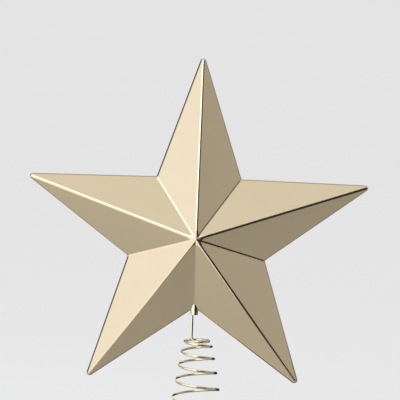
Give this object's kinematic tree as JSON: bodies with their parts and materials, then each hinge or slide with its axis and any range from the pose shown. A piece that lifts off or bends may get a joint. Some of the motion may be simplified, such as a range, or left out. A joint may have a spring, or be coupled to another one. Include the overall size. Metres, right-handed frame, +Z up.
{
  "type": "tree topper star",
  "caption": "Hollow faceted metal star that turns on a wire stem, with a conical wire coil below that is pushed over the top shoot of a tree.",
  "frame": {"origin": "on the coil's axis, level with the underside of the coil's lowest turn, where the tree's top shoot goes in", "axes": "+Z up along the coil and the stem, -Y the way the star's front faces, +X to the right seen from the front"},
  "size_m": [0.2561, 0.063, 0.2915],
  "materials": {
    "satin_gold_sheet": "satin champagne gold on iron sheet",
    "bright_gold_tube": "bright pale gold plate on iron",
    "bright_gold_wire": "bright pale gold plate on iron wire",
    "bare_plate": "bare steel"
  },
  "bodies": {
    "base": {"coil_spring": "bright_gold_wire"},
    "upright": {"stem": "bright_gold_wire"},
    "star": {"front_shell": "satin_gold_sheet", "rear_shell": "satin_gold_sheet", "socket_tube": "bright_gold_tube", "tube_bridge": "bare_plate"}
  },
  "joints": [
    {"name": "coil_press", "type": "slide", "parent": "base", "child": "upright", "axis": [0, 0, 1], "range_m": [-0.019, 0], "stiffness_N_per_m": 540, "springref_m": 0.0048, "deforming": ["coil_spring"]},
    {"name": "star_swivel", "type": "hinge", "parent": "upright", "child": "star", "pos_m": [-0.00305, -0.00797, 0.09695], "axis": [0, 0, 1], "continuous": true}
  ]
}
